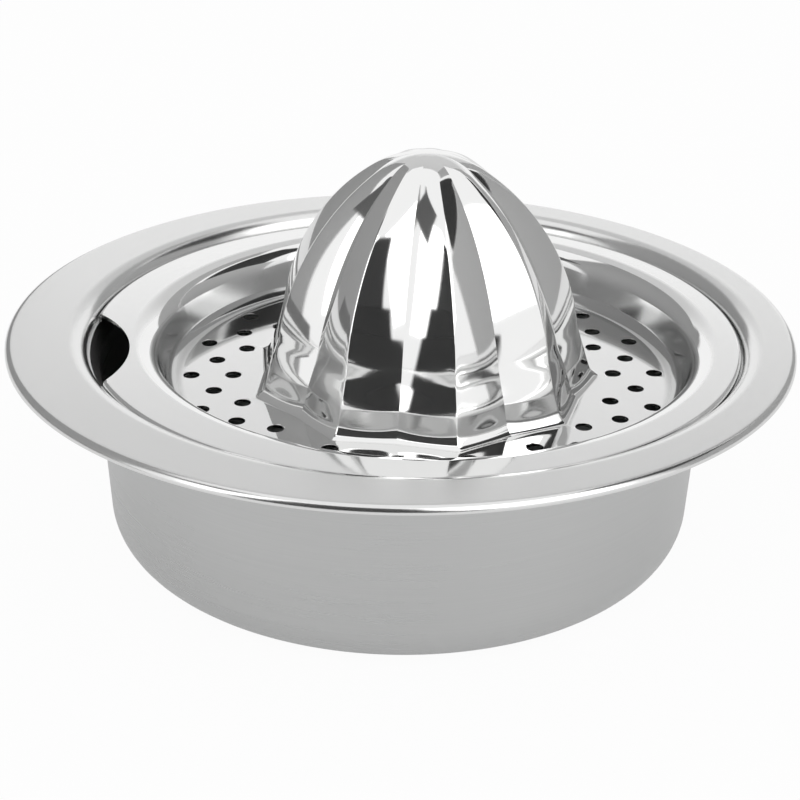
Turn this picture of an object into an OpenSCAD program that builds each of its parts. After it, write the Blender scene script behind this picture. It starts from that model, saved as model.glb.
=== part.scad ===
// Two-piece steel citrus juicer: a drawn bowl with a broad flange, and a lift-out pressing that is
// rim, strainer and fluted reamer in one sheet. The pour notch in the pressing faces -X, a little turned.
// Millimetres, +Z up. The origin is the middle of the bowl's underside.

/* [Bowl] */
// Height from the table to the top of the flange
bowl_h = 48.8; // [38:0.1:60]
// Outside diameter of the wall at its top
bowl_d = 132.6; // [110:0.2:150]
// Outside diameter of the wall where its line meets the table
base_d = 127.6; // [100:0.2:132]
// Outside radius of the bottom corner
corner_r = 10; // [3:0.5:16]
// Thickness of the bowl's sheet
bowl_sheet = 0.8; // [0.5:0.1:1.2]
// Inner bend radius where the wall turns out to the ledge
mouth_bend = 0.4; // [0.2:0.1:1.5]

/* [Flange] */
// Width of the flange on its narrow side, opposite the pour notch
flange_w = 10.8; // [8:0.1:20]
// Inner bend radius of the flange's turned-down outer edge
lip_bend = 0.6; // [0.3:0.1:2]
// Upright length of that edge below its bend
lip_drop = 0.2; // [0.2:0.1:4]

/* [Seat] */
// Inner bend radius of the flange's edge where it dips into the seat
seat_bend = 3.2; // [1:0.1:5]
// Upright height of the seat's side below that bend
seat_step = 0.2; // [0.1:0.1:2]
// Distance of the seat's axis from the bowl's axis, away from the pour notch
seat_offset = 3.2; // [0.5:0.1:5]
// Flat width of the seat's ledge on the pouring side, where it is narrowest
ledge_w = 1.1; // [0.3:0.1:4]
// Gap all round between the pressing's rim and the seat
seat_gap = 0.35; // [0.2:0.05:0.8]

/* [Pressing] */
// Thickness of the pressing's sheet
press_sheet = 0.7; // [0.5:0.1:1]
// Inner bend radius of the rim's turned-down outer edge
rim_bend = 1.1; // [0.3:0.1:1.6]
// Upright height of that edge between its bend and the ledge
rim_step = 0.2; // [0.1:0.1:1.5]
// Distance of the pan's axis from the rim's axis, away from the pour notch
pan_offset = 2.1; // [0.5:0.1:3]
// Room between the pan's mouth and the bowl's wall, where they come closest
pan_gap = 0.8; // [0.2:0.1:4]
// Depth of the strainer floor below the rim
pan_depth = 10.8; // [7:0.1:16]
// Slope of the pan's wall from the vertical, in degrees
pan_draft = 18; // [14:1:30]
// Inner bend radius of the pan's broadly rounded mouth
pan_bend = 4.8; // [2:0.1:5.6]
// Radius where the pan's wall runs into the floor
pan_foot_r = 3.5; // [1:0.1:5]

/* [Pour notch] */
// Width of the notch along the rim's edge
notch_w = 37; // [24:0.2:44]
// Width of rim left between the notch and the pan's mouth
notch_land = 4.7; // [3:0.1:5.5]
// Turn of the pressing's notch from -X, clockwise from above, in degrees
notch_turn = 2.5; // [0:0.5:10]

/* [Strainer holes] */
// Diameter of a hole
hole_d = 3.6; // [2:0.1:4]
// Rows of holes
hole_rows = 3; // [1:1:3]
// Holes in each row
row_holes = 18; // [12:1:24]
// Distance between rows
row_pitch = 4.6; // [4.2:0.1:5]
// Distance of the outer row from the edge of the flat floor
row_margin = 2.1; // [2:0.1:4]
// Turn of the inner row's first hole from +X, in degrees
hole_turn = 10.5; // [0:0.5:30]

/* [Reamer] */
// Height of the reamer above the strainer floor
cone_h = 51.1; // [42:0.1:60]
// Diameter across the ridges at the shoulder
cone_d = 67.6; // [56:0.2:70]
// Height of the shoulder, where the flank begins to lean in, above the floor
shoulder_h = 6.2; // [4:0.1:10]
// Width of the skirt's flare along a ridge, at the floor
skirt_flare = 3.6; // [2:0.1:5.2]
// Height above the floor at which the flare has run out
skirt_h = 12.5; // [8:0.5:16]
// Radius of the rounded nose
nose_r = 21.5; // [14:0.5:24]
// Number of flutes
flutes = 9; // [7:1:12]
// Depth of a flute at the shoulder, in percent of the ridge's radius
shoulder_cut = 8.5; // [7:0.5:12]
// Greatest depth of a flute, in percent of the ridge's radius
flute_cut = 15; // [12:0.5:20]
// Height above the shoulder over which the flutes deepen
cut_rise = 30; // [20:1:34]
// Swelling of the ribs between two flutes, in percent of their radius
rib_swell = 2; // [1:0.2:4]
// Turn of the first ridge from +X, in degrees
ridge_turn = 28.5; // [0:0.5:60]

/* [Hidden] */

// Steps of one rounded corner, and of the reamer's skirt, flank and nose
corner_steps = 8;
skirt_steps = 5;
flank_steps = 12;
nose_steps = 6;
round_steps = 96;
// Overlap by which neighbouring lengths of one sheet are joined
join = 0.2;
// Overshoot of a cutter past the face that it cuts
over = 1;

// Outer radii of the bends, one sheet outside their inner radii
mouth_round = mouth_bend + bowl_sheet;
lip_round = lip_bend + bowl_sheet;
seat_round = seat_bend + bowl_sheet;
rim_round = rim_bend + press_sheet;
pan_round = pan_bend + press_sheet;

// Levels
seat_depth = seat_round + seat_step;
flange_z = bowl_h;
ledge_z = flange_z - seat_depth;
rim_z = ledge_z + rim_step + rim_round;
floor_z = rim_z - pan_depth;

// Radii of the bowl, the seat and the flange, each about its own axis
bowl_r = bowl_d / 2;
mouth_in_r = bowl_r - bowl_sheet;
base_r = base_d / 2;
seat_r = mouth_in_r + mouth_round + seat_offset + ledge_w;
flange_r = seat_r + seat_offset + flange_w;
wall_slope = atan((bowl_r - base_r) / ledge_z);

// Radii of the pressing
rim_r = seat_r - seat_gap;
pan_r = mouth_in_r - seat_offset - pan_offset - pan_gap;
land_r = pan_r + pan_round * (1 - sin(pan_draft)) / cos(pan_draft);
floor_r = pan_r - (pan_foot_r + (pan_depth - pan_foot_r) * sin(pan_draft)) / cos(pan_draft);

// The notch is an arc through both ends of its width and the edge of the land that it leaves
notch_in = pan_r - pan_offset + notch_land;
notch_chord = sqrt(pow(rim_r, 2) - pow(notch_w / 2, 2));
notch_rise = notch_chord - notch_in;
notch_r = (pow(notch_w / 2, 2) + pow(notch_rise, 2)) / (2 * notch_rise);

// The reamer's flank: an arc that stands upright at the shoulder and runs into the round nose
cone_r = cone_d / 2;
nose_z = cone_h - nose_r;
nose_step = cone_r - nose_r;
flank_shift = (pow(nose_z - shoulder_h, 2) - pow(nose_step, 2)) / (2 * nose_step);
flank_end = atan2(nose_z - shoulder_h, flank_shift);
half_flute = 180 / flutes;
// Power of the height by which the skirt's flare runs out
flare_power = 1.3;
// Height below the tip in which the flutes run out
nose_fade = 4;
// Radial thickness that gives the sloping facets the sheet's thickness
cone_wall = 1.3 * press_sheet;

function arc(c, r, from, to) =
    [for (i = [0:corner_steps]) let (a = from + (to - from) * i / corner_steps) c + r * [cos(a), sin(a)]];

function reversed(list) = [for (i = [len(list) - 1:-1:0]) list[i]];

// Turns a closed outline in radius and height about Z
module turned(points) {
    rotate_extrude($fn = round_steps) polygon(points);
}

// Flat ring of sheet between two circles on different axes, its top at height z
module flat_ring(outer_r, outer_x, inner_r, inner_x, z, sheet) {
    translate([0, 0, z - sheet])
        linear_extrude(sheet)
            difference() {
                translate([outer_x, 0]) circle(outer_r, $fn = round_steps);
                translate([inner_x, 0]) circle(inner_r, $fn = round_steps);
            }
}

// Outline of an outer edge that turns down over a bend, from the flat to its lower end
function turned_edge(edge_r, top_z, low_z, bend, sheet) =
    let (round = bend + sheet, c = [edge_r - round, top_z - round])
    concat(
        [[c[0] - join, top_z]],
        arc(c, round, 90, 0),
        [[edge_r, low_z], [edge_r - sheet, low_z]],
        arc(c, bend, 0, 90),
        [[c[0] - join, top_z - sheet]]);

// Bottom, corner and wall of the bowl, up to the bend into the ledge
module bowl_shell() {
    corner = [base_r - corner_r * (1 - sin(wall_slope)) / cos(wall_slope), corner_r];
    bend_z = ledge_z - mouth_round;
    bend = [base_r + (mouth_bend + bend_z * sin(wall_slope)) / cos(wall_slope), bend_z];
    outside = concat(
        [[0, 0]],
        arc(corner, corner_r, -90, -wall_slope),
        arc(bend, mouth_bend, 180 - wall_slope, 90),
        [[bend[0] + join, ledge_z - bowl_sheet]]);
    inside = concat(
        [[0, bowl_sheet]],
        arc(corner, corner_r - bowl_sheet, -90, -wall_slope),
        arc(bend, mouth_round, 180 - wall_slope, 90),
        [[bend[0] + join, ledge_z]]);
    turned(concat(outside, reversed(inside)));
    flat_ring(seat_r + bowl_sheet, seat_offset, bend[0], 0, ledge_z, bowl_sheet);
}

// Riser between the ledge and the flange, about the seat's axis
module seat_riser() {
    c = [seat_r + seat_round, flange_z - seat_round];
    translate([seat_offset, 0])
        turned(concat(
            [[seat_r - join, ledge_z], [seat_r, ledge_z]],
            arc(c, seat_round, 180, 90),
            [[c[0] + join, flange_z], [c[0] + join, flange_z - bowl_sheet]],
            arc(c, seat_bend, 90, 180),
            [[seat_r + bowl_sheet, ledge_z - bowl_sheet], [seat_r - join, ledge_z - bowl_sheet]]));
}

// Drawn bowl with its ledge, seat and broad flange
module bowl() {
    color("#b4b5b4") {
        bowl_shell();
        seat_riser();
        flat_ring(flange_r - lip_round, 0, seat_r + seat_round, seat_offset, flange_z, bowl_sheet);
        turned(turned_edge(flange_r, flange_z, flange_z - lip_round - lip_drop, lip_bend, bowl_sheet));
    }
}

// Rim of the pressing: a flat land whose outer edge turns down onto the ledge
module rim() {
    turned(turned_edge(rim_r, rim_z, ledge_z, rim_bend, press_sheet));
    flat_ring(rim_r - rim_round, 0, land_r, pan_offset, rim_z, press_sheet);
}

// Strainer pan: rounded mouth, sloping wall and flat floor, about its own axis
module pan() {
    mouth = [land_r, rim_z - pan_round];
    foot = [floor_r, floor_z + pan_foot_r];
    upper = concat(
        [[land_r + join, rim_z]],
        arc(mouth, pan_round, 90, 180 - pan_draft),
        arc(foot, pan_foot_r, -pan_draft, -90),
        [[0, floor_z]]);
    under = concat(
        [[land_r + join, rim_z - press_sheet]],
        arc(mouth, pan_bend, 90, 180 - pan_draft),
        arc(foot, pan_foot_r + press_sheet, -pan_draft, -90),
        [[0, floor_z - press_sheet]]);
    turned(concat(upper, reversed(under)));
}

function flare_at(h) = skirt_flare * pow(max(1 - h / skirt_h, 0), flare_power);

function cut_at(h) =
    let (
        rise = min(max((h - shoulder_h) / cut_rise, 0), 1),
        fade = sqrt(min((cone_h - h) / nose_fade, 1)))
    fade * (shoulder_cut + (flute_cut - shoulder_cut) * sin(90 * rise)) / 100;

// Ring of the reamer at height h: ridge radius, valley radius, height and swelling of the ribs
function ring_at(flank_r, h) =
    let (ridge = flank_r + flare_at(h))
    [ridge, ridge * (1 - cut_at(h)), h, rib_swell / 100 * min(h / shoulder_h, 1)];

skirt = [for (i = [0:skirt_steps]) ring_at(cone_r, shoulder_h * i / skirt_steps)];

flank = [for (i = [1:flank_steps])
    let (a = flank_end * i / flank_steps)
    ring_at((cone_r + flank_shift) * cos(a) - flank_shift, shoulder_h + (cone_r + flank_shift) * sin(a))];

nose = [for (i = [1:nose_steps - 1])
    let (a = flank_end + (90 - flank_end) * i / nose_steps)
    ring_at(nose_r * cos(a), nose_z + nose_r * sin(a))];

reamer_rings = concat(skirt, flank, nose);

function on_circle(r, a) = r * [cos(a), sin(a)];

// Corner k of a ring: a ridge, the swollen middle of a facet, a valley and the next middle, in turn
function corner(ring, k) =
    let (
        part = k % 4,
        turn = ridge_turn + floor(k / 4) * 2 * half_flute,
        ridge = on_circle(ring[0], turn + (part == 3 ? 2 * half_flute : 0)),
        valley = on_circle(ring[1], turn + half_flute))
    part == 0 ? ridge : part == 2 ? valley : (ridge + valley) / 2 * (1 + ring[3]);

// Closed reamer body, drawn in by a radial inset, with a straight foot of depth sink below it
module reamer_body(inset, sink) {
    low = reamer_rings[0];
    rings = concat([[low[0], low[1], -sink, 0]], reamer_rings);
    side = 4 * flutes;
    last = len(rings) - 1;
    points = concat(
        [for (ring = rings, k = [0:side - 1])
            let (p = corner(ring, k), q = p * (1 - inset / norm(p)))
            [q[0], q[1], ring[2]]],
        [[0, 0, cone_h - inset * (1 - sin(flank_end))]]);
    function at(ring, k) = ring * side + k % side;
    faces = concat(
        [[for (k = [0:side - 1]) at(0, k)]],
        [for (i = [0:last - 1], k = [0:side - 1]) [at(i, k), at(i + 1, k), at(i, k + 1)]],
        [for (i = [0:last - 1], k = [0:side - 1]) [at(i, k + 1), at(i + 1, k), at(i + 1, k + 1)]],
        [for (k = [0:side - 1]) [at(last, k), len(points) - 1, at(last, k + 1)]]);
    polyhedron(points, faces);
}

// Drills for the strainer holes, alternate rows half a step round
module hole_drills() {
    step = 360 / row_holes;
    inner_row = floor_r - row_margin - (hole_rows - 1) * row_pitch;
    for (row = [0:hole_rows - 1], i = [0:row_holes - 1])
        rotate(hole_turn + (i + row % 2 / 2) * step)
            translate([inner_row + row * row_pitch, 0, floor_z - press_sheet - over])
                cylinder(d = hole_d, h = press_sheet + 2 * over, $fn = 24);
}

// Cutter for the pour notch, about the rim's axis
module notch_cutter() {
    rotate(-notch_turn)
        translate([-notch_in - notch_r, 0, ledge_z - over])
            cylinder(r = notch_r, h = rim_z - ledge_z + 2 * over, $fn = round_steps);
}

// Rim, strainer and hollow fluted reamer, pressed from one sheet
module reamer_pressing() {
    color("#dcdddd")
        translate([seat_offset, 0])
            difference() {
                union() {
                    rim();
                    translate([pan_offset, 0]) {
                        pan();
                        translate([0, 0, floor_z]) reamer_body(0, press_sheet / 2);
                    }
                }
                translate([pan_offset, 0]) {
                    translate([0, 0, floor_z - press_sheet]) reamer_body(cone_wall, over);
                    hole_drills();
                }
                notch_cutter();
            }
}

bowl();
reamer_pressing();
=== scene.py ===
# %% [markdown]
# # A citrus juicer in two pieces
# A satin steel bowl catches the juice. A mirror-bright pressing lies loose in its mouth: a flat rim with a
# pour notch, a strainer pan with three rows of holes, and a fluted reamer. The imported CAD model comes first,
# as a fixed frame in metres. Its two solids stay, hidden, and each gets a finer piece in its place.

# %% Load the imported part
import math

import bmesh
import bpy
from mathutils import Matrix, Vector


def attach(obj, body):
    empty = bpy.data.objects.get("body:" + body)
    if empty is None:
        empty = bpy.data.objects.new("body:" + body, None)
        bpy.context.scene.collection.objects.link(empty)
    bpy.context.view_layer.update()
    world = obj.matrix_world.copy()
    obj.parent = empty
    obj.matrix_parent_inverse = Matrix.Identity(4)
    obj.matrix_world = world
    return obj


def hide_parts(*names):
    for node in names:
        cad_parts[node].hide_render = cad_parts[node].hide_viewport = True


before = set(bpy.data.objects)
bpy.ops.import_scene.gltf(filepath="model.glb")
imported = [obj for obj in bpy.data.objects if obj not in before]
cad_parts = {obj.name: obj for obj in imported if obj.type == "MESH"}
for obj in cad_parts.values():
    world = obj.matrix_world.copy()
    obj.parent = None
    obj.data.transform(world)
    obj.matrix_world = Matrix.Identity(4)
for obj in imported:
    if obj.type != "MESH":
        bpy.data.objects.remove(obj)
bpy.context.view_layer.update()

# %% [markdown]
# Both pieces are drawn from flat sheet, and a sheet can be modelled the way it is drawn: start from a small
# loop of edges and extrude it ring by ring along the section. Each ring is moved to its own centre and scaled
# to its own radius. A spin would be shorter, but the rim and the pan of this juicer sit on three parallel
# axes, a few millimetres apart, and rings can change axis on the flats where the eye can't see it.

# %% Helpers for sheets drawn ring by ring
MM = 0.001


def fresh_circle(name, corners, radius, centre_x, height, turn=0, fill="NOTHING"):
    """A new circle of edges, its place applied to its mesh, opened in edit mode with everything selected."""
    bpy.ops.object.select_all(action="DESELECT")
    bpy.ops.mesh.primitive_circle_add(
        vertices=corners, radius=radius * MM, fill_type=fill,
        location=(centre_x * MM, 0, height * MM), rotation=(0, 0, math.radians(turn)))
    circle = bpy.context.object
    circle.name = circle.data.name = name
    bpy.ops.object.transform_apply(location=True, rotation=True, scale=True)
    bpy.ops.object.mode_set(mode="EDIT")
    bpy.ops.mesh.select_mode(type="VERT")
    return circle


def pick(piece, test):
    """Selects the vertices of the open mesh whose place, in millimetres, passes the test."""
    mesh = bmesh.from_edit_mesh(piece.data)
    for vert in mesh.verts:
        vert.select = bool(test(vert.co / MM))
    mesh.select_flush_mode()
    bmesh.update_edit_mesh(piece.data)


def draw_rings(rings):
    """Extends the selected loop through rings of (radius, centre x, height), from the first of them on."""
    for (old_r, old_x, old_z), (new_r, new_x, new_z) in zip(rings, rings[1:]):
        step = ((new_x - old_x) * MM, 0, (new_z - old_z) * MM)
        bpy.ops.mesh.extrude_edges_move(TRANSFORM_OT_translate={"value": step})
        bpy.ops.transform.resize(
            value=(new_r / old_r, new_r / old_r, 1), center_override=(new_x * MM, 0, new_z * MM))


def bend(radius, height, bend_r, start, end, axis, steps):
    """Rings of a rounded bend: an arc in the section, about a point at that radius and height."""
    angles = [math.radians(start + (end - start) * i / steps) for i in range(steps + 1)]
    return [(radius + bend_r * math.cos(a), axis, height + bend_r * math.sin(a)) for a in angles]


def give_thickness(piece, thickness):
    """Merges, points the sheet's faces upwards, and thickens it on the under side."""
    bpy.ops.mesh.select_all(action="SELECT")
    bpy.ops.mesh.remove_doubles(threshold=0.001 * MM)
    bpy.ops.mesh.normals_make_consistent(inside=False)
    mesh = bmesh.from_edit_mesh(piece.data)
    if sum(face.normal.z * face.calc_area() for face in mesh.faces) < 0:
        bpy.ops.mesh.flip_normals()
    bpy.ops.object.mode_set(mode="OBJECT")
    wall = piece.modifiers.new("wall", "SOLIDIFY")
    wall.thickness = thickness * MM
    wall.offset = -1
    wall.use_even_offset = True
    bpy.ops.object.modifier_apply(modifier=wall.name)


def soften_edges(piece, width, angle):
    """Rounds the sharp edges of the sheet, then shades smooth with the flats kept flat."""
    edge = piece.modifiers.new("edge", "BEVEL")
    edge.width = width * MM
    edge.segments = 2
    edge.limit_method = "ANGLE"
    edge.angle_limit = math.radians(angle)
    bpy.ops.object.modifier_apply(modifier=edge.name)
    bpy.ops.object.shade_smooth_by_angle(angle=math.radians(angle), keep_sharp_edges=True)
    flats = piece.modifiers.new("flats", "WEIGHTED_NORMAL")
    flats.keep_sharp = True
    bpy.ops.object.modifier_apply(modifier=flats.name)
    print(piece.name, "has", len(piece.data.polygons), "faces")


# %% [markdown]
# The bowl is the plainer piece. The loop starts at the middle of the bottom and runs out along the inner
# face: bottom, rounded corner, leaning wall, a small bend out to the ledge, the riser of the seat, the broad
# flange, and the edge that turns down. Radii and heights repeat the values of the part's source. Only the
# ledge, which the rim hides, slopes here from the wall up to the seat instead of lying flat.

# %% The bowl
BOWL_AXIS, SEAT_AXIS, PAN_AXIS = 0.0, 3.2, 5.3
FLANGE_Z, RIM_Z, LEDGE_Z, FLOOR_Z = 48.8, 46.6, 44.6, 35.8
BOWL_SHEET, PRESS_SHEET = 0.8, 0.7
LEDGE_FALL = 3.2
BASE_R, BOWL_R, CORNER_R, MOUTH_R = 63.8, 66.3, 10.0, 1.2
SEAT_R, SEAT_ROUND, FLANGE_R, LIP_ROUND, LIP_DROP = 71.0, 4.0, 85.0, 1.4, 0.2

lean = math.degrees(math.atan2(BOWL_R - BASE_R, LEDGE_Z))
lean_sin, lean_cos = math.sin(math.radians(lean)), math.cos(math.radians(lean))
corner_x = BASE_R - CORNER_R * (1 - lean_sin) / lean_cos
mouth_z = LEDGE_Z - LEDGE_FALL
mouth_x = BASE_R + (MOUTH_R - BOWL_SHEET + mouth_z * lean_sin) / lean_cos

bowl_rings = [(2, BOWL_AXIS, BOWL_SHEET), (30, BOWL_AXIS, BOWL_SHEET)]
bowl_rings += bend(corner_x, CORNER_R, CORNER_R - BOWL_SHEET, -90, -lean, BOWL_AXIS, 14)
bowl_rings += bend(mouth_x, mouth_z, MOUTH_R, 180 - lean, 130, BOWL_AXIS, 5)
bowl_rings += [(SEAT_R - 0.5, SEAT_AXIS, LEDGE_Z), (SEAT_R, SEAT_AXIS, LEDGE_Z)]
bowl_rings += bend(SEAT_R + SEAT_ROUND, FLANGE_Z - SEAT_ROUND, SEAT_ROUND, 180, 90, SEAT_AXIS, 16)
bowl_rings += [(SEAT_R + SEAT_ROUND + 0.4, SEAT_AXIS, FLANGE_Z)]
bowl_rings += [(FLANGE_R - LIP_ROUND - 0.4, BOWL_AXIS, FLANGE_Z)]
bowl_rings += bend(FLANGE_R - LIP_ROUND, FLANGE_Z - LIP_ROUND, LIP_ROUND, 90, 0, BOWL_AXIS, 10)
bowl_rings += [(FLANGE_R, BOWL_AXIS, FLANGE_Z - LIP_ROUND - LIP_DROP)]

bowl = fresh_circle("satin_bowl", 240, 2, BOWL_AXIS, BOWL_SHEET, fill="TRIFAN")
pick(bowl, lambda p: p.xy.length > 1)
draw_rings(bowl_rings)
give_thickness(bowl, BOWL_SHEET)
soften_edges(bowl, 0.15, 50)
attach(bowl, "bowl")
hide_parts("bowl")

# %% [markdown]
# The reamer has nine flutes. A ring of eighteen corners, nine ridges and nine valleys in turn, is enough to
# draw it: the ring rises from the floor, and at each level the ridges and the valleys are scaled apart to
# their own radii. A ridge leaves the floor in a small fillet, runs up a sloping skirt that fades into the
# flank, and arcs over into a round nose. The valleys are deepest high up and die out at the tip.

# %% The reamer's ridges and valleys
FLUTES, HALF_FLUTE, RIDGE_TURN = 9, 20.0, 28.5
CONE_R, CONE_H, SHOULDER_H, NOSE_R = 33.8, 51.1, 6.2, 21.5
FLARE, FLARE_POWER, SKIRT_H, FOOT_REACH, FOOT_H = 3.6, 1.3, 12.5, 1.6, 2.6
SHOULDER_CUT, FLUTE_CUT, CUT_RISE, NOSE_FADE = 0.085, 0.15, 30.0, 4.0


def sine(degrees):
    return math.sin(math.radians(degrees))


def cosine(degrees):
    return math.cos(math.radians(degrees))


nose_z = CONE_H - NOSE_R
nose_step = CONE_R - NOSE_R
flank_shift = ((nose_z - SHOULDER_H) ** 2 - nose_step ** 2) / (2 * nose_step)
flank_end = math.degrees(math.atan2(nose_z - SHOULDER_H, flank_shift))


def fluted(flank, height):
    """Ridge radius, valley radius and height of one ring, from the flank's radius at that height."""
    ridge = flank + FLARE * max(1 - height / SKIRT_H, 0) ** FLARE_POWER
    ridge += FOOT_REACH * (1 - (1 - max(1 - height / FOOT_H, 0) ** 2) ** 0.5)
    rise = min(max((height - SHOULDER_H) / CUT_RISE, 0), 1)
    cut = SHOULDER_CUT + (FLUTE_CUT - SHOULDER_CUT) * sine(90 * rise)
    cut *= min((CONE_H - height) / NOSE_FADE, 1) ** 0.5
    return ridge, ridge * (1 - cut), height


levels = [fluted(CONE_R, FOOT_H * (1 - cosine(90 * i / 10))) for i in range(10)]
levels += [fluted(CONE_R, FOOT_H + (SHOULDER_H - FOOT_H) * i / 8) for i in range(9)]
for i in range(1, 31):
    a = flank_end * i / 30
    levels.append(fluted((CONE_R + flank_shift) * cosine(a) - flank_shift,
                         SHOULDER_H + (CONE_R + flank_shift) * sine(a)))
for i in range(1, 16):
    a = flank_end + (90 - flank_end) * i / 16
    levels.append(fluted(NOSE_R * cosine(a), nose_z + NOSE_R * sine(a)))
print("reamer levels:", len(levels), "from", round(levels[0][2], 2), "to", round(levels[-1][2], 2), "mm")

# %% [markdown]
# With the levels known, the ring is drawn upwards. A corner's angle tells which line it belongs to. The last
# ring is closed to a point. A small bevel takes the edge off the ridges, every edge that runs around a facet
# is cut into twelve, which turns the facets into fine strips without moving them, and the valley lines are
# marked sharp, because the press folds them crisply.

# %% The reamer drawn upwards
pan_centre = Vector((PAN_AXIS, 0, 0))


def round_angle(p):
    """Angle about the pan's axis from the nearest ridge, 0 on a ridge and HALF_FLUTE in a valley."""
    angle = math.degrees(math.atan2(p.y, p.x - PAN_AXIS)) - RIDGE_TURN
    return abs((angle + HALF_FLUTE) % (2 * HALF_FLUTE) - HALF_FLUTE)


def scale_line(piece, in_valley, height, factor):
    """Scales the ridge or valley corners of one level about the reamer's axis."""
    pick(piece, lambda p: abs(p.z - height) < 1e-3 and (round_angle(p) > HALF_FLUTE / 2) == in_valley)
    bpy.ops.transform.resize(
        value=(factor, factor, 1), center_override=(PAN_AXIS * MM, 0, height * MM))


# Blender puts a circle's first corner at 90 degrees, which is half a step off a ridge
first_turn = RIDGE_TURN - HALF_FLUTE / 2
pressing = fresh_circle(
    "polished_pressing", 2 * FLUTES, levels[0][0], PAN_AXIS, FLOOR_Z, turn=first_turn)
scale_line(pressing, True, FLOOR_Z, levels[0][1] / levels[0][0])
for low, high in zip(levels, levels[1:]):
    pick(pressing, lambda p: abs(p.z - FLOOR_Z - low[2]) < 1e-3)
    bpy.ops.mesh.extrude_edges_move(TRANSFORM_OT_translate={"value": (0, 0, (high[2] - low[2]) * MM)})
    scale_line(pressing, False, FLOOR_Z + high[2], high[0] / low[0])
    scale_line(pressing, True, FLOOR_Z + high[2], high[1] / low[1])
pick(pressing, lambda p: abs(p.z - FLOOR_Z - levels[-1][2]) < 1e-3)
bpy.ops.mesh.extrude_edges_move(TRANSFORM_OT_translate={"value": (0, 0, (CONE_H - levels[-1][2]) * MM)})
bpy.ops.mesh.merge(type="CENTER")

# %% [markdown]
# Ridges, strips and valleys are all lines of edges, so each is picked by where its ends lie.

# %% Round the ridges and cut the facets into fine strips
STRIPS, RIDGE_ROUND = 12, 0.3


def on_line(edge, test):
    """True for an edge that runs up the reamer along corners that pass the test."""
    a, b = edge.verts
    return abs(a.co.z - b.co.z) > 1e-6 and test(a.co / MM) and test(b.co / MM)


def pick_edges(piece, test):
    """Selects the edges of the open mesh that pass the test."""
    bpy.ops.mesh.select_mode(type="EDGE")
    bpy.ops.mesh.select_all(action="DESELECT")
    mesh = bmesh.from_edit_mesh(piece.data)
    for edge in mesh.edges:
        edge.select = bool(test(edge))
    bmesh.update_edit_mesh(piece.data)


def is_ridge(p):
    return round_angle(p) < 0.5 and p.z < FLOOR_Z + CONE_H - 0.7


def is_valley(p):
    return round_angle(p) > HALF_FLUTE - 0.5


pick_edges(pressing, lambda edge: on_line(edge, is_ridge))
bpy.ops.mesh.bevel(offset=RIDGE_ROUND * MM, segments=2, profile=0.5)
pick_edges(pressing, lambda edge: not on_line(edge, lambda p: True)
           and any(is_valley(vert.co / MM) for vert in edge.verts))
bpy.ops.mesh.subdivide(number_cuts=STRIPS - 1, smoothness=0)
pick_edges(pressing, lambda edge: on_line(edge, is_valley))
bpy.ops.mesh.mark_sharp()
bpy.ops.mesh.select_mode(type="VERT")

# %% [markdown]
# The ribs between the creases are not flat: the sheet swells a little, most in the middle of each facet.
# Every strip is a column of vertices, so each column is scaled outwards by its own small amount. On the foot
# the swelling fades out level by level, so that the reamer still runs flat into the floor.

# %% Swell the ribs
SWELL = 0.02
reamer_mesh = bmesh.from_edit_mesh(pressing.data)
columns = {}
for vert in reamer_mesh.verts:
    p = vert.co / MM
    across = round_angle(p) / HALF_FLUTE
    level = min(max((p.z - FLOOR_Z) / SHOULDER_H, 0), 1)
    swell = round(SWELL * 4 * across * (1 - across) * level, 5)
    if swell > 0:
        columns.setdefault(swell, set()).add(vert.index)
for swell, members in sorted(columns.items()):
    reamer_mesh = bmesh.from_edit_mesh(pressing.data)
    for vert in reamer_mesh.verts:
        vert.select = vert.index in members
    reamer_mesh.select_flush_mode()
    bmesh.update_edit_mesh(pressing.data)
    bpy.ops.transform.resize(value=(1 + swell, 1 + swell, 1), center_override=(PAN_AXIS * MM, 0, 0))
print("columns swollen:", len(columns))
print("reamer faces:", len(bmesh.from_edit_mesh(pressing.data).faces))

# %% [markdown]
# The rest of the pressing grows out of the reamer's foot, so that floor, wall and rim are one sheet with it.
# The foot is a polygon with eighteen corners. Its loop is extruded outwards on the floor, and each group of
# equal vertices is scaled until the loop is a true circle. From there on it is drawn ring by ring like the
# bowl: floor, rounded foot of the wall, wall, rounded mouth, flat rim, and the edge that turns down.

# %% The strainer floor, the pan and the rim
FLOOR_START = 40.0
pick(pressing, lambda p: abs(p.z - FLOOR_Z) < 1e-3)
bpy.ops.mesh.extrude_edges_move(TRANSFORM_OT_translate={"value": (0, 0, 0)})
foot_mesh = bmesh.from_edit_mesh(pressing.data)
foot_radii = {}
for vert in foot_mesh.verts:
    if vert.select:
        radius = (vert.co / MM - pan_centre).xy.length
        foot_radii.setdefault(round(radius, 3), []).append(vert.index)
for radius, group in foot_radii.items():
    members = set(group)
    foot_mesh = bmesh.from_edit_mesh(pressing.data)
    for vert in foot_mesh.verts:
        vert.select = vert.index in members
    foot_mesh.select_flush_mode()
    bmesh.update_edit_mesh(pressing.data)
    factor = FLOOR_START / radius
    bpy.ops.transform.resize(
        value=(factor, factor, 1), center_override=(PAN_AXIS * MM, 0, FLOOR_Z * MM))

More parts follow.
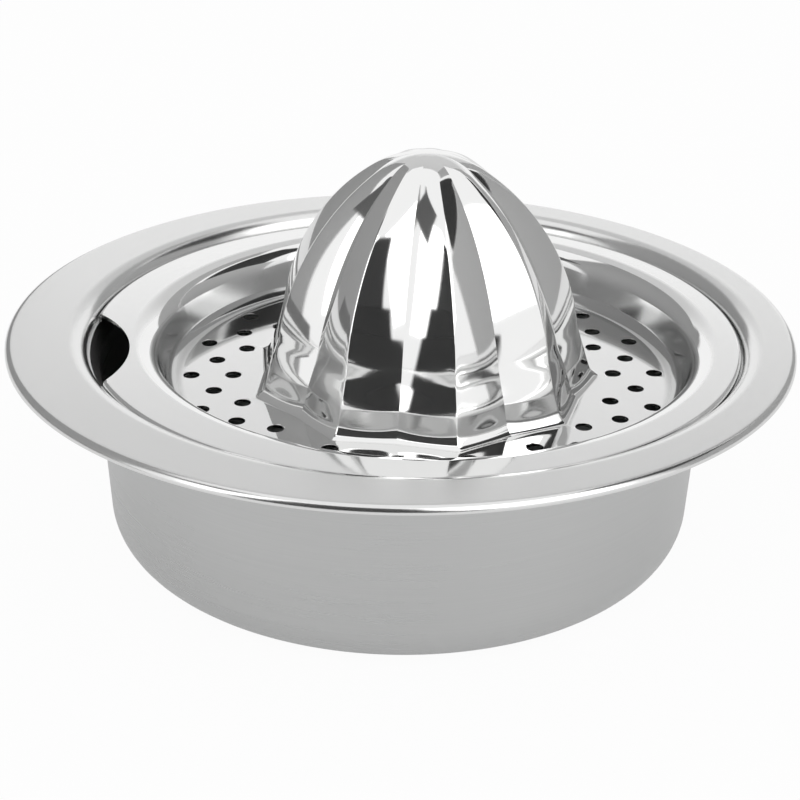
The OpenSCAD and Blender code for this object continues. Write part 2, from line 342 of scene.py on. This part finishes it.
FLOOR_R, PAN_FOOT_R, PAN_DRAFT, LAND_R, CROWN_R = 53.35, 3.5, 18.0, 63.4, 5.5
RIM_R, RIM_ROUND = 70.65, 1.0
pan_rings = [(FLOOR_START, PAN_AXIS, FLOOR_Z), (FLOOR_R - 0.4, PAN_AXIS, FLOOR_Z)]
pan_rings += bend(FLOOR_R, FLOOR_Z + PAN_FOOT_R, PAN_FOOT_R, -90, -PAN_DRAFT, PAN_AXIS, 12)
pan_rings += bend(LAND_R, RIM_Z - CROWN_R, CROWN_R, 180 - PAN_DRAFT, 90, PAN_AXIS, 24)
pan_rings += [(RIM_R - RIM_ROUND - 0.3, SEAT_AXIS, RIM_Z)]
pan_rings += bend(RIM_R - RIM_ROUND, RIM_Z - RIM_ROUND, RIM_ROUND, 90, 0, SEAT_AXIS, 12)
pan_rings += [(RIM_R, SEAT_AXIS, LEDGE_Z + 0.02)]
pick(pressing, lambda p: abs((p - pan_centre).xy.length - FLOOR_START) < 1e-2 and p.z < FLOOR_Z + 1)
draw_rings(pan_rings)
give_thickness(pressing, PRESS_SHEET)
print("pressing faces before cutting:", len(pressing.data.polygons))

# %% [markdown]
# Holes and the pour notch are punched through the finished sheet, as on the real one. One drill stands in
# each of the three rows, the middle row half a step round, and a spin with copies carries the three around
# the reamer. A Boolean then cuts them all at once. The notch is one wide cylinder that bites into the rim.

# %% Punch the holes and the notch
ROW_HOLES, HOLE_R, HOLE_TURN = 18, 1.8, 10.5
ROW_RADII = (42.05, 46.65, 51.25)


def cutter(name, radius, depth, at, corners):
    """A cylinder standing at a place in millimetres, its place applied to its mesh."""
    bpy.ops.object.select_all(action="DESELECT")
    bpy.ops.mesh.primitive_cylinder_add(
        vertices=corners, radius=radius * MM, depth=depth * MM, location=[v * MM for v in at])
    tool = bpy.context.object
    tool.name = name
    bpy.ops.object.transform_apply(location=True, rotation=True, scale=True)
    return tool


def punch(piece, tool):
    """Cuts the tool out of the piece and removes the tool."""
    cut = piece.modifiers.new("cut", "BOOLEAN")
    cut.operation = "DIFFERENCE"
    cut.solver = "EXACT"
    cut.object = tool
    bpy.ops.object.select_all(action="DESELECT")
    bpy.context.view_layer.objects.active = piece
    piece.select_set(True)
    bpy.ops.object.modifier_apply(modifier=cut.name)
    bpy.data.objects.remove(tool)


step = 360 / ROW_HOLES
drills = []
for row, radius in enumerate(ROW_RADII):
    a = HOLE_TURN + (step / 2 if row == 1 else 0)
    drills.append(cutter("drill", HOLE_R, 4, (PAN_AXIS + radius * cosine(a), radius * sine(a), FLOOR_Z), 32))
for drill in drills:
    drill.select_set(True)
bpy.ops.object.join()
drill = bpy.context.object
bpy.ops.object.mode_set(mode="EDIT")
bpy.ops.mesh.select_all(action="SELECT")
bpy.ops.mesh.spin(
    steps=ROW_HOLES - 1, dupli=True, angle=math.radians(360 - step),
    center=(PAN_AXIS * MM, 0, 0), axis=(0, 0, 1))
bpy.ops.mesh.select_all(action="SELECT")
bpy.ops.mesh.normals_make_consistent(inside=False)
bpy.ops.object.mode_set(mode="OBJECT")
print("drill faces:", len(drill.data.polygons))
punch(pressing, drill)

NOTCH_IN, NOTCH_R, NOTCH_TURN = 62.0, 30.8, 2.5
reach = NOTCH_IN + NOTCH_R
notch_centre = (SEAT_AXIS - reach * cosine(NOTCH_TURN), reach * sine(NOTCH_TURN), RIM_Z - 2)
punch(pressing, cutter("notch", NOTCH_R, 8, notch_centre, 192))
soften_edges(pressing, 0.1, 50)
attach(pressing, "reamer_pressing")
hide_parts("reamer_pressing")

# %% [markdown]
# Finishes are node trees. To keep them readable, a small class wraps a socket, so that sums and products on
# sockets read as Python and add the Math nodes themselves. One method adds any other node.

# %% Shader expressions
class Value:
    """A shader socket that can be added, subtracted, multiplied and raised to a power."""

    def __init__(self, tree, socket):
        self.tree, self.socket = tree, socket

    def node(self, kind, settings=None, inputs=None, output=0):
        """Adds a node, sets its properties, then its sockets, and wraps one of its outputs."""
        made = self.tree.nodes.new(kind)
        for name, value in (settings or {}).items():
            setattr(made, name, value)
        for name, value in (inputs or {}).items():
            if isinstance(value, Value):
                self.tree.links.new(value.socket, made.inputs[name])
            else:
                made.inputs[name].default_value = value
        return Value(self.tree, made.outputs[output])

    def maths(self, operation, a, b):
        return self.node("ShaderNodeMath", {"operation": operation}, {0: a, 1: b})

    def __add__(self, other):
        return self.maths("ADD", self, other)

    __radd__ = __add__

    def __sub__(self, other):
        return self.maths("SUBTRACT", self, other)

    def __rsub__(self, other):
        return self.maths("SUBTRACT", other, self)

    def __mul__(self, other):
        return self.maths("MULTIPLY", self, other)

    __rmul__ = __mul__

    def __pow__(self, other):
        return self.maths("POWER", self, other)


def new_finish(name):
    """A material with a Principled shader, and its Object coordinates as a wrapped socket."""
    finish = bpy.data.materials.new(name)
    finish.use_nodes = True
    tree = finish.node_tree
    shader = tree.nodes["Principled BSDF"]
    place = Value(tree, tree.nodes.new("ShaderNodeTexCoord").outputs["Object"])
    return finish, shader, place


def feed(shader, socket, value):
    """Links a wrapped value to one of the shader's sockets."""
    value.tree.links.new(value.socket, shader.inputs[socket])


# %% [markdown]
# The satin bowl was turned against an abrasive belt, which leaves fine lines around it. A noise that is
# stretched along the circle gives them. Its third coordinate is radius plus height, which runs along the
# section on the wall and on the flange alike, so one noise serves both. The flange was polished further than
# the wall, so above the ledge the finish is smoother. Its colour is also made lighter there, which is painted
# light: the lighter tone stands in for the brighter light that the flange's upward face catches.

# %% Satin steel
satin, satin_shader, place = new_finish("satin_steel")
axes = place.node("ShaderNodeSeparateXYZ", inputs={0: place})
tree = satin.node_tree
x, y, z = (Value(tree, axes.socket.node.outputs[i]) for i in range(3))
section = (x * x + y * y) ** 0.5 + z
lines_at = place.node("ShaderNodeCombineXYZ", inputs={0: x * 30, 1: y * 30, 2: section * 4200})
lines = place.node("ShaderNodeTexNoise", inputs={"Vector": lines_at, "Scale": 1.0, "Detail": 4.0})
cloud = place.node("ShaderNodeTexNoise", inputs={"Vector": place, "Scale": 24.0, "Detail": 3.0})
grain = lines * 0.7 + cloud * 0.3
on_flange = place.node(
    "ShaderNodeMapRange", {"interpolation_type": "SMOOTHSTEP"},
    {"Value": z, "From Min": 0.044, "From Max": 0.0478, "To Min": 0.0, "To Max": 1.0})
wall_colour = place.node(
    "ShaderNodeMix", {"data_type": "RGBA"},
    {"Factor": grain, "A": (0.54, 0.545, 0.545, 1), "B": (0.625, 0.627, 0.623, 1)}, 2)
# Painted light: the flange's colour is lighter than the wall's, standing in for the brighter light on its
# upward face
flange_painted_light_colour = place.node(
    "ShaderNodeMix", {"data_type": "RGBA"},
    {"Factor": grain, "A": (0.75, 0.752, 0.75, 1), "B": (0.83, 0.83, 0.825, 1)}, 2)
colour = place.node(
    "ShaderNodeMix", {"data_type": "RGBA"}, {"Factor": on_flange, "A": wall_colour, "B": flange_painted_light_colour}, 2)
feed(satin_shader, "Base Color", colour)
feed(satin_shader, "Roughness", 0.22 - on_flange * 0.1 + lines * 0.08 + cloud * 0.06)
satin_shader.inputs["Metallic"].default_value = 1.0
satin_shader.inputs["Anisotropic"].default_value = 0.5
satin_shader.inputs["Anisotropic Rotation"].default_value = 0.25
bump = place.node("ShaderNodeBump", inputs={"Height": lines, "Strength": 0.05, "Distance": 0.0002})
feed(satin_shader, "Normal", bump)
bowl.data.materials.clear()
bowl.data.materials.append(satin)
print("satin steel nodes:", len(tree.nodes))

# %% [markdown]
# The pressing is polished until it mirrors the studio. A real mirror finish is never perfect: faint clouds
# of handling marks change its roughness a little, and the surface is not dead flat. The pan's wall, a recess
# under the rim, gets painted shade: its colour is darker there, and its finish is also made less smooth.

# %% Polished steel
polish, polish_shader, place = new_finish("polished_steel")
cloud = place.node("ShaderNodeTexNoise", inputs={"Vector": place, "Scale": 45.0, "Detail": 4.0})
wipes = place.node("ShaderNodeTexNoise", inputs={"Vector": place, "Scale": 700.0, "Detail": 2.0})
axes = place.node("ShaderNodeSeparateXYZ", inputs={0: place})
x, y, z = (Value(polish.node_tree, axes.socket.node.outputs[i]) for i in range(3))
from_pan_axis = ((x - PAN_AXIS * MM) ** 2 + y * y) ** 0.5
past_floor = place.node(
    "ShaderNodeMapRange", {"interpolation_type": "SMOOTHSTEP"},
    {"Value": from_pan_axis, "From Min": 0.0525, "From Max": 0.0545, "To Min": 0.0, "To Max": 1.0})
below_mouth = place.node(
    "ShaderNodeMapRange", {"interpolation_type": "SMOOTHSTEP"},
    {"Value": z, "From Min": 0.041, "From Max": 0.045, "To Min": 1.0, "To Max": 0.0})
pan_wall_shade_and_roughness = past_floor * below_mouth
bright = place.node(
    "ShaderNodeMix", {"data_type": "RGBA"},
    {"Factor": cloud, "A": (0.84, 0.842, 0.84, 1), "B": (0.9, 0.9, 0.895, 1)}, 2)
# Painted shade: the pan's wall, in the recess under the rim, is coloured darker than the rest of the pressing
colour = place.node(
    "ShaderNodeMix", {"data_type": "RGBA"},
    {"Factor": pan_wall_shade_and_roughness, "A": bright, "B": (0.55, 0.552, 0.55, 1)}, 2)
feed(polish_shader, "Base Color", colour)
feed(polish_shader, "Roughness", 0.03 + pan_wall_shade_and_roughness * 0.06 + cloud * 0.04 + wipes * 0.02)
polish_shader.inputs["Metallic"].default_value = 1.0
bump = place.node("ShaderNodeBump", inputs={"Height": cloud, "Strength": 0.02, "Distance": 0.0005})
feed(polish_shader, "Normal", bump)
pressing.data.materials.clear()
pressing.data.materials.append(polish)
print("polished steel nodes:", len(polish.node_tree.nodes))

# %% [markdown]
# Polished metal shows what stands around it. The studio is white: a pale floor, a white world, and large soft
# lamps. Dark boards that only reflections can see give the mirror something to draw its lines with, as a
# photographer stands black boards around shiny metal.

# %% The floor and the world
bpy.ops.object.select_all(action="DESELECT")
bpy.ops.mesh.primitive_plane_add(size=6, location=(0, 0, 0))
floor = bpy.context.object
floor.name = "floor"
paper, paper_shader, place = new_finish("white_paper")
paper_shader.inputs["Base Color"].default_value = (0.75, 0.75, 0.75, 1)
paper_shader.inputs["Roughness"].default_value = 0.9
tree = paper.node_tree
rays = tree.nodes.new("ShaderNodeLightPath")
camera_ray = Value(tree, rays.outputs["Is Camera Ray"])
glossy_ray = Value(tree, rays.outputs["Is Glossy Ray"])
through_ray = Value(tree, rays.outputs["Is Transmission Ray"])
white = tree.nodes.new("ShaderNodeEmission")
blend = tree.nodes.new("ShaderNodeMixShader")
tree.links.new((camera_ray * 0.95 + glossy_ray * 0.3 + through_ray * 0.3).socket, blend.inputs[0])
tree.links.new(paper_shader.outputs[0], blend.inputs[1])
tree.links.new(white.outputs[0], blend.inputs[2])
tree.links.new(blend.outputs[0], tree.nodes["Material Output"].inputs["Surface"])
floor.data.materials.append(paper)

world = bpy.data.worlds.new("studio")
bpy.context.scene.world = world
world.use_nodes = True
tree = world.node_tree
rays = tree.nodes.new("ShaderNodeLightPath")
seen = Value(tree, rays.outputs["Is Camera Ray"])
seen = seen + Value(tree, rays.outputs["Is Glossy Ray"]) + Value(tree, rays.outputs["Is Transmission Ray"])
strength = 0.75 + seen * 0.25
tree.nodes["Background"].inputs["Color"].default_value = (1, 1, 1, 1)
tree.links.new(strength.socket, tree.nodes["Background"].inputs["Strength"])
print("white floor and world")

# %% [markdown]
# A board is given by the bearings and elevations that it fills as seen from the juicer, because a mirror
# shows directions. Bearing 0 is towards the camera, and bearings grow to its right.

# %% The lamps and the boards
AZIMUTH, TARGET_Z = -12.0, 0.02988
target = Vector((0, 0, TARGET_Z))


def facing(place):
    """Turns that make a lamp at a place look at the juicer."""
    return (target - Vector(place)).to_track_quat("-Z", "Y").to_euler()


def soft_lamp(name, place, size, power):
    """A square area lamp that looks at the juicer."""
    bpy.ops.object.light_add(type="AREA", location=place, rotation=facing(place))
    lamp = bpy.context.object
    lamp.name = name
    lamp.data.shape = "SQUARE"
    lamp.data.size = size
    lamp.data.energy = power
    return lamp


soft_lamp("left_lamp", (-1.5, -1.4, 1.4), 2.2, 14)
soft_lamp("right_lamp", (0.9, -1.7, 1.6), 2.2, 16)


def board_finish(name, tone):
    """A matt grey that fades out along a board's edges, and the parts of it that a caller may change."""
    finish = bpy.data.materials.new(name)
    finish.use_nodes = True
    tree = finish.node_tree
    shader = tree.nodes["Principled BSDF"]
    shader.inputs["Base Color"].default_value = (tone, tone, tone, 1)
    shader.inputs["Roughness"].default_value = 1.0
    shader.inputs["Specular IOR Level"].default_value = 0.0
    place = Value(tree, tree.nodes.new("ShaderNodeTexCoord").outputs["Object"])
    axes = place.node("ShaderNodeSeparateXYZ", inputs={0: place})
    solid = []
    for i in range(2):
        across = Value(tree, axes.socket.node.outputs[i])
        solid.append(place.node(
            "ShaderNodeMapRange", {"interpolation_type": "SMOOTHSTEP"},
            {"Value": across * across, "From Min": 0.19, "From Max": 0.25, "To Min": 1.0, "To Max": 0.0}))
    clear = tree.nodes.new("ShaderNodeBsdfTransparent")
    blend = tree.nodes.new("ShaderNodeMixShader")
    tree.links.new((solid[0] * solid[1]).socket, blend.inputs[0])
    tree.links.new(clear.outputs[0], blend.inputs[1])
    tree.links.new(shader.outputs[0], blend.inputs[2])
    tree.links.new(blend.outputs[0], tree.nodes["Material Output"].inputs["Surface"])
    return finish, shader, axes


def board(name, tone, left, right, low, high, distance=1.2):
    """A board that only reflections see, between two bearings from the camera and two elevations."""
    bearing = math.radians((left + right) / 2 + AZIMUTH)
    half = distance * math.tan(math.radians((right - left) / 2))
    bottom = target.z + distance * math.tan(math.radians(low))
    top = target.z + distance * math.tan(math.radians(high))
    place = (distance * math.sin(bearing), -distance * math.cos(bearing), (bottom + top) / 2)
    bpy.ops.object.select_all(action="DESELECT")
    bpy.ops.mesh.primitive_plane_add(size=1, location=place, rotation=(math.pi / 2, 0, bearing))
    made = bpy.context.object
    made.name = name
    made.scale = (2 * half, top - bottom, 1)
    finish, shader, axes = board_finish(name + "_grey", tone)
    made.data.materials.append(finish)
    made.visible_camera = made.visible_diffuse = made.visible_shadow = False
    return shader, axes


board("front_low_board", 0.05, -46, 25, -6, 13)
board("front_middle_board", 0.05, -43, 16, 5, 24, 1.25)
board("front_high_board", 0.06, -38, 9, 8, 56, 1.3)
board("left_front_board", 0.14, -88, -54, 44, 64, 1.4)
board("left_low_board", 0.2, -120, -66, -8, 4)
board("left_back_board", 0.36, -165, -75, -6, 58, 1.3)
board("right_low_board", 0.47, 76, 134, -6, 38)
board("right_high_board", 0.05, 82, 128, 35, 64, 1.3)
board("right_back_board", 0.43, 132, 153, -6, 58, 1.4)
back_shader, axes = board("back_board", 0.9, 150, 210, 20, 62, 1.5)
height = Value(axes.tree, axes.socket.node.outputs[1])
shade = axes.node(
    "ShaderNodeMapRange", {"interpolation_type": "SMOOTHSTEP"},
    {"Value": height, "From Min": -0.5, "From Max": -0.3, "To Min": 0.98, "To Max": 0.7})
grey = axes.node("ShaderNodeCombineColor", inputs={0: shade, 1: shade, 2: shade})
feed(back_shader, "Base Color", grey)
print("lamps and boards placed")

# %% [markdown]
# The camera stands a little above the rim, turned so that the notch is on the left, at the distance and lens
# that the flange's ellipse in the picture gave. A small roll makes the flange lean as it does there.

# %% The camera
ELEVATION, DISTANCE, ROLL, LENS = 25.28, 0.430, 0.816, 87.12
away = Vector((sine(AZIMUTH) * cosine(ELEVATION), -cosine(AZIMUTH) * cosine(ELEVATION), sine(ELEVATION)))
bpy.ops.object.camera_add()
camera = bpy.context.object
camera.data.lens = LENS
camera.data.sensor_width = 36
camera.data.clip_start, camera.data.clip_end = 0.01, 20
turn = (-away).to_track_quat("-Z", "Y").to_matrix().to_4x4()
camera.matrix_world = Matrix.Translation(target + away * DISTANCE) @ turn @ Matrix.Rotation(
    math.radians(ROLL), 4, "Z")
bpy.context.scene.camera = camera
bpy.context.scene.view_settings.view_transform = "Standard"
print("camera at", [round(v, 3) for v in camera.location])
